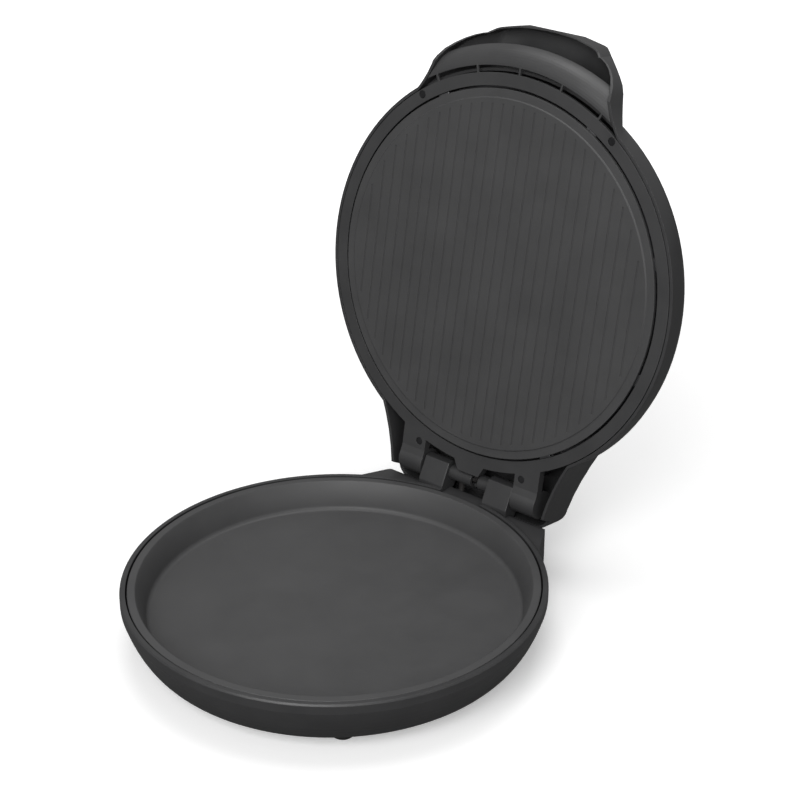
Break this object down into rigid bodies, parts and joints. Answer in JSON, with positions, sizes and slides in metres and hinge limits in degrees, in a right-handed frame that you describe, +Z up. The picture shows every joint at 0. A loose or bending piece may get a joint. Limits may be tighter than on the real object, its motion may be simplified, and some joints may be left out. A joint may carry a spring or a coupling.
{
  "type": "electric pizza maker",
  "caption": "Round countertop pizza maker with a deep pan, a domed hinged lid with a grooved plate, and a hollow handle.",
  "frame": {"origin": "on the floor, below the middle of the bounding box of the opened appliance; the round base's own centre lies 58.1 mm in front of it", "axes": "+Z up, -Y towards the front of the base (the handle side of the closed lid), +Y towards the hinge, +X to the right seen from the front"},
  "size_m": [0.33, 0.4445, 0.4422],
  "materials": {
    "housing_plastic": "fine-grained satin black",
    "frame_plastic": "fine-grained satin charcoal",
    "nonstick_coating": "matte charcoal non-stick coating",
    "element_sheath": "heat-dulled steel tube",
    "zinc_steel": "zinc plated",
    "clip_steel": "spring steel",
    "black_screw": "blackened screw",
    "reflector_sheet": "bright aluminised sheet",
    "thermostat_ceramic": "tan glazed body",
    "terminal_ceramic": "off-white unglazed ceramic",
    "lead_sleeve": "braided glass-fibre sleeve",
    "black_rubber": "matte rubber",
    "red_lens": "clear tinted lens",
    "green_lens": "clear tinted lens"
  },
  "bodies": {
    "base": {"base_housing": "housing_plastic", "lower_pan": "nonstick_coating", "lower_element": "element_sheath", "lower_clamps": "zinc_steel", "lower_clamp_screws": "zinc_steel", "lower_reflector": "reflector_sheet", "lower_thermostat": "thermostat_ceramic", "thermal_fuse": "thermostat_ceramic", "terminal_block": "terminal_ceramic", "base_leads": "lead_sleeve", "pan_screws": "zinc_steel", "cord_bush": "black_rubber", "foot_front_left": "black_rubber", "foot_front_right": "black_rubber", "foot_rear_left": "black_rubber", "foot_rear_right": "black_rubber", "hinge_pin_left": "zinc_steel", "hinge_pin_right": "zinc_steel", "lead_barrel": "housing_plastic"},
    "lid": {"lid_cover": "housing_plastic", "lid_frame": "frame_plastic", "upper_plate": "nonstick_coating", "upper_element": "element_sheath", "upper_clamps": "zinc_steel", "upper_clamp_screws": "zinc_steel", "upper_reflector": "reflector_sheet", "upper_thermostat": "thermostat_ceramic", "plate_screws": "zinc_steel", "plate_clips": "clip_steel", "frame_screws": "black_screw", "power_lens": "red_lens", "ready_lens": "green_lens", "lid_leads": "lead_sleeve"}
  },
  "joints": [
    {"name": "lid_hinge", "type": "hinge", "parent": "base", "child": "lid", "pos_m": [0, 0.11892, 0.062], "axis": [1, 0, 0], "range_deg": [0, 100]}
  ]
}
